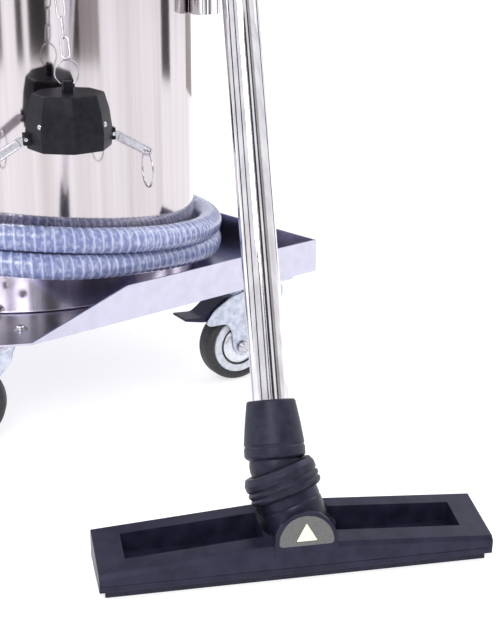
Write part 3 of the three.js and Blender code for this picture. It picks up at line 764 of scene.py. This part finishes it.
def make_wheel(node, name, axle):
    half = WHEEL_WIDTH / 2
    tread = rounded([
        (39, -half + 1), (43, -half), (WHEEL_RADIUS - 2, -half + 3), (WHEEL_RADIUS, -half + 8),
        (WHEEL_RADIUS, half - 8), (WHEEL_RADIUS - 2, half - 3), (43, half), (39, half - 1),
        (39, -half + 1),
    ], 4)
    piece(f"{node}_tread", Shape().turn(tread, axle, segments=128), TYRE_LOOK, f"wheel_{name}",
          f"{node}_tyre", crease=50)
    centre = rounded([
        (6, -half - 1), (27, -half + 3), (28, -half + 1), (31, -half + 0.5), (37.5, -half + 1),
        (38.6, -half + 3), (38.6, half - 3), (37.5, half - 1), (31, half - 0.5), (28, half - 1),
        (27, half - 3), (6, half + 1), (6, -half - 1),
    ], 1.2)
    piece(f"{node}_centre", Shape().turn(centre, axle, segments=112), WHEEL_LOOK, f"wheel_{name}",
          f"{node}_hub")
    disc = Shape()
    seal = Shape()
    for side in (-1, 1):
        out = axle if side > 0 else axle @ Matrix.Rotation(math.pi, 4, "X")
        disc.turn(rounded([(6, half - 3), (25.4, half - 3), (25.6, half - 1.4), (21, half + 1.2),
                           (14, half + 2.6), (6, half + 2.8), (6, half - 3)], 1.5), out)
        seal.turn(rounded([(25.8, half - 3), (27.6, half - 3), (27.6, half - 0.4),
                           (25.8, half - 0.4), (25.8, half - 3)], 0.6), out)
    piece(f"{node}_dust_disc", disc, DISC_LOOK, f"wheel_{name}", crease=40)
    piece(f"{node}_seal", seal, TYRE_LOOK, f"wheel_{name}")


def make_pedal(node, name, local, head):
    outline = rounded([
        (42, head - 22), (60, head - 26), (82, head - 40), (92, head - 41), (121, head - 35),
        (121, head - 32), (95, head - 34), (84, head - 27), (62, head - 11), (44, head - 11),
    ], 4, closed=True)
    pedal = Shape().slab(outline, -18, 18, local @ UPRIGHT)
    piece(f"{node}_brake_pedal", pedal, PLASTIC_LOOK, f"pedal_{name}",
          f"{node}_pedal", bevel=1.6)
    rivet = Shape()
    for side in (-1, 1):
        place = local @ Matrix.Translation((50, side * 18, head - 17)) @ Matrix.Rotation(
            radians(-90 * side), 4, "X")
        rivet.turn(rounded([(0, 0), (4.2, 0), (3.6, 1.0), (0, 1.5)], 0.5), place, segments=28)
    piece(f"{node}_rivet", rivet, BRIGHT_LOOK, f"pedal_{name}")


# ---------- dust cap ----------
def split_ring(radius, wire, turns=1.9):
    """A key ring: wire wound nearly twice round, in the XY plane."""
    count = 90
    path = []
    for k in range(count + 1):
        angle = 2 * math.pi * turns * k / count
        path.append(Vector((math.cos(angle) * radius, math.sin(angle) * radius,
                            wire * 1.05 * (2 * k / count - 1))))
    return path


def make_cap():
    cap = turned_to(CAP_AZIMUTH) @ Matrix.Translation((CAP_DISTANCE, 0, 0))

    def facets(angle):
        flat = (angle % (math.pi / 4)) - math.pi / 8
        return 0.1 + 0.9 * math.cos(math.pi / 8) / math.cos(flat) * 1.03

    outside = rounded([
        (41, CAP_BOTTOM), (48, CAP_BOTTOM), (49.5, CAP_BOTTOM + 20), (46.5, CAP_BOTTOM + 44),
        (41, CAP_TOP), (0, CAP_TOP), (0, CAP_TOP - 6), (36, CAP_TOP - 6), (41, CAP_BOTTOM),
    ], 2.5)
    body = Shape().turn(outside, cap @ Matrix.Rotation(radians(-7), 4, "Z"), 128, facets)
    tab = rounded([(-5.5, CAP_TOP - 1), (5.5, CAP_TOP - 1), (5.5, CAP_TOP + 13),
                   (-5.5, CAP_TOP + 13)], 2, closed=True)
    body.slab(tab, -5.5, 5.5, cap @ UPRIGHT)
    for side in (-1, 1):
        for cheek in (-5, 1.8):
            outline = [(cheek, 43), (cheek + 3.2, 43), (cheek + 3.2, 54.5), (cheek, 54.5)]
            outline = [(x, side * y) for x, y in outline][::side]
            place = cap @ Matrix.Translation((0, 0, CAP_PIN_Z - 7))
            body.slab(rounded(outline, 1, closed=True), 0, 14, place)
    piece("cap_body", body, CAP_LOOK, "cap", "dust_cap", crease=24, bevel=0.6)

    pins = Shape()
    for side in (-1, 1):
        direction = polar(46 if side > 0 else -57, 1, 0)
        place = cap @ stand(direction * 46.8 + Vector((0, 0, CAP_PIN_Z + 17)), direction)
        pins.turn(rounded([(0, 0), (3.6, 0), (3.4, 1.4), (2, 2.6), (0, 3)], 0.8), place,
                  segments=28)
        hinge = cap @ Matrix.Translation((0, side * LEVER_PIN, CAP_PIN_Z)) @ ACROSS
        for end in (-1, 1):
            low, high = sorted((end * 1.6, end * 6.6))
            pins.turn(rounded([(0, low), (2.4, low), (2.4, high), (0, high)], 0.6), hinge,
                      segments=24)
    piece("cap_pins", pins, BRIGHT_LOOK, "cap")

    ring_middle = CAP_TOP + 8 + 14.5
    upright_ring = cap @ Matrix.Translation((0, 0, ring_middle)) @ ACROSS
    shape = Shape().sweep(split_ring(14.5, 0.8), 0.8, upright_ring, 10)
    piece("cap_key_ring", shape, BRIGHT_LOOK, "cap", "cap_ring_top", crease=60)
    make_chain(cap, ring_middle + 14.5 + 1.5)
    for name, side in (("right", 1), ("left", -1)):
        make_lever(name, side, cap)


def make_chain(cap, foot):
    start = Vector((0, 0, foot + 1))
    end = Vector((TANK_RADIUS + 9 - CAP_DISTANCE, 0, INLET_Z - 4))
    direction = (end - start).normalized()
    links = 6
    pitch = (end - start).length / links
    wire = 1.15
    link = []
    for k in range(48):
        angle = 2 * math.pi * k / 48
        bow = math.sin(angle)
        straight = (pitch / 2 - 3.6) * (1 if math.cos(angle) > 0 else -1)
        link.append(Vector((bow * 4.6, 0, math.cos(angle) * 4.6 + straight)))
    shape = Shape()
    for k in range(links):
        middle = start + direction * (pitch * (k + 0.5))
        place = cap @ stand(middle, direction) @ Matrix.Rotation(radians(70 + 90 * k), 4, "Z")
        shape.sweep(link, wire, place, 10, loop=True)
    piece("cap_chain_links", shape, BRIGHT_LOOK, "cap", "cap_chain", crease=70)
    keep_node("chain_anchor", ZINC_LOOK, 0.8)


def make_lever(name, side, cap):
    droop = Matrix.Rotation(radians(-LEVER_DROOP * side), 4, "X")
    pivot = cap @ Matrix.Translation((0, side * LEVER_PIN, CAP_PIN_Z)) @ droop
    face = pivot @ Matrix.Rotation(radians(90), 4, "Y") @ Matrix.Rotation(radians(90), 4, "Z")
    keep_node(f"cap_lever_{name}", BRIGHT_LOOK, 0.4)
    rim = [Vector((side * x, z, 0)) for x, z in rounded(
        [(9, -4.4), (52.5, -4.4), (52.5, 4.4), (9, 4.4)], 2.5, closed=True)]
    trim = Shape().sweep(rim, 0.9, face @ Matrix.Translation((0, 0, 1.2)), 8, loop=True)
    eye = [p + Vector((side * LEVER_REACH, 0, 0)) for p in circle(4.4, 28)]
    trim.sweep(eye, 0.9, face @ Matrix.Translation((0, 0, 1.2)), 8, loop=True)
    piece(f"cap_lever_{name}_rim", trim, BRIGHT_LOOK, f"lever_{name}", crease=70)
    hole = (pivot @ Vector((0, side * LEVER_REACH, 0)))
    place = Matrix.Translation(hole - Vector((0, 0, PULL_RING))) @ turned_to(CAP_AZIMUTH) @ UPRIGHT
    shape = Shape().sweep(split_ring(PULL_RING, 0.8), 0.8, place, 10)
    piece(f"cap_pull_ring_{name}", shape, BRIGHT_LOOK, f"pull_{name}",
          f"cap_ring_{name}", crease=60)


# ---------- floor tool, neck and wand ----------
def make_floor_tool():
    keep_node("tool_body", PLASTIC_LOOK, 1.6)
    keep_node("strip_frame", PLASTIC_LOOK, 0.8)
    neck_x = 5.3
    face = (turned_to(TOOL_TURN, TOOL_CENTRE) @ Matrix.Translation((neck_x, -41.9, 0))
            @ Matrix.Rotation(radians(-7), 4, "X") @ UPRIGHT)
    plate = rounded([(-28.5, 38), (28.5, 38), (27, 50), (21, 60), (12.5, 66.5), (0, 69),
                     (-12.5, 66.5), (-21, 60), (-27, 50)], 5, closed=True)
    piece("tool_grey_plate", Shape().slab(plate, 2.3, 3.1, face), PLATE_LOOK, "floor_tool",
          bevel=0.25)
    mark = rounded([(-10.5, 43), (10.5, 43), (0, 61)], 1, closed=True)
    piece("tool_pale_triangle", Shape().slab(mark, 3.0, 3.5, face), MARK_LOOK, "floor_tool")
    keep_node("squeegee_front", RUBBER_LOOK, 0.8)
    keep_node("squeegee_rear", RUBBER_LOOK, 0.8)


def make_neck_and_wand():
    up = NECK_DIRECTION
    foot = Vector((NECK_FOOT.x, NECK_FOOT.y, 20))
    bend = smooth_curve([foot, foot + Vector((0, 0, 14)), NECK_FOOT + Vector((0, 0, -3)),
                         NECK_FOOT + up * 9, NECK_FOOT + up * 18, NECK_FOOT + up * 26], 1.5)
    elbow = Shape().sweep(bend, lambda i, angle: ELBOW_RADIUS - (0.7 if i % 17 == 12 else 0),
                          sides=72)
    piece("neck_elbow", elbow, PLASTIC_LOOK, "machine", "swivel_elbow", crease=50)

    length = (WAND_FOOT - NECK_FOOT).length
    neck = stand(NECK_FOOT, up)
    collar = rounded([
        (18, 26.4), (34.5, 26.4), (37.2, 29), (37.8, 32), (36.4, 33.2), (36.4, 34.6), (37.8, 36),
        (37.8, 39), (36.4, 40.2), (36.4, 41.6), (37.8, 43), (37.8, length - 9),
        (35, length - 3), (28.2, length - 3), (25.6, length - 12), (22.6, length - 17),
        (18, length - 21.5), (18, 26.4),
    ], 1)
    piece("neck_collar", Shape().turn(collar, neck), RUBBER_LOOK, "machine",
          "swivel_collar")

    wand = stand(WAND_FOOT, WAND_DIRECTION)
    ball = [(BALL_RADIUS * math.cos(radians(t)), BALL_RADIUS * math.sin(radians(t)))
            for t in range(-56, 13, 4)]
    cuff = ball + rounded([
        ball[-1], (30, 8), (31.2, 10), (31.2, 18), (30.2, 19), (30.2, 20.4), (31, 21.6),
        (28.6, 42), (25.2, 64), (24.2, 66), (19.4, 66), (19.4, 39.6), (15, 39.6), ball[0],
    ], 1.2)[1:]
    piece("wand_foot_cuff", Shape().turn(cuff, wand), RUBBER_LOOK, "machine",
          "wand_cuff")
    end = WAND_START + WAND_LENGTH
    tube = rounded([(WAND_RADIUS - 1.5, WAND_START), (WAND_RADIUS, WAND_START), (WAND_RADIUS, end),
                    (WAND_RADIUS - 1.5, end), (WAND_RADIUS - 1.5, WAND_START)], 0.6)
    piece("wand_tube", Shape().turn(tube, wand, segments=96), WAND_LOOK, "machine",
          "wand")
    top = WAND_FOOT + WAND_DIRECTION * (end + GAP)
    bend = smooth_curve([
        top, top + WAND_DIRECTION * 30, Vector((255, 106, 1110)), Vector((205, 134, 1160)),
        Vector((148, 162, 1188)), HAND_TUBE_END], 4)
    piece("hand_tube_bend", Shape().sweep(bend, WAND_RADIUS, sides=64), CHROME_LOOK, "machine",
          "hand_tube", crease=60)
    make_wand_holder()


def make_wand_holder():
    hold = WAND_FOOT + WAND_DIRECTION * 830
    azimuth = math.degrees(math.atan2(hold.y, hold.x))
    inward = -Vector((hold.x, hold.y, 0)).normalized()
    eye = rounded([(WAND_RADIUS + GAP, -12), (WAND_RADIUS + 5, -12), (WAND_RADIUS + 5, 12),
                   (WAND_RADIUS + GAP, 12), (WAND_RADIUS + GAP, -12)], 1.2)
    shape = Shape().turn(eye, stand(hold, WAND_DIRECTION), segments=64)
    arm = smooth_curve([
        hold + inward * (WAND_RADIUS + 3), hold + inward * (WAND_RADIUS + 40),
        polar(azimuth, TANK_RADIUS + 36, 770), polar(azimuth, TANK_RADIUS + 16, 690),
        polar(azimuth, TANK_RADIUS + 13, 620)], 3)
    shape.sweep(arm, 5, sides=24)
    piece("wand_rest", shape, ZINC_LOOK, "machine", "wand_holder", crease=50)
    foot = rectangle(40, 60, 6)
    place = turned_to(azimuth) @ Matrix.Translation((TANK_RADIUS + 8 + GAP, 0, 640)) @ Matrix.Rotation(
        radians(90), 4, "Z") @ UPRIGHT
    piece("wand_rest_foot", Shape().slab(foot, -2, 2, place), ZINC_LOOK, "machine",
          bevel=0.6)


make_stage()
make_hose()
make_tank()
make_tray()
make_head()
make_filter()
for castor_name, (castor_x, castor_y, castor_azimuth) in CASTORS.items():
    make_castor(castor_name, castor_x, castor_y, castor_azimuth)
make_cap()
make_floor_tool()
make_neck_and_wand()
for latch in ("front", "rear"):
    keep_node(f"latch_{latch}_bracket", ZINC_LOOK, 0.8)
    keep_node(f"latch_{latch}_lever", ZINC_LOOK, 0.8)
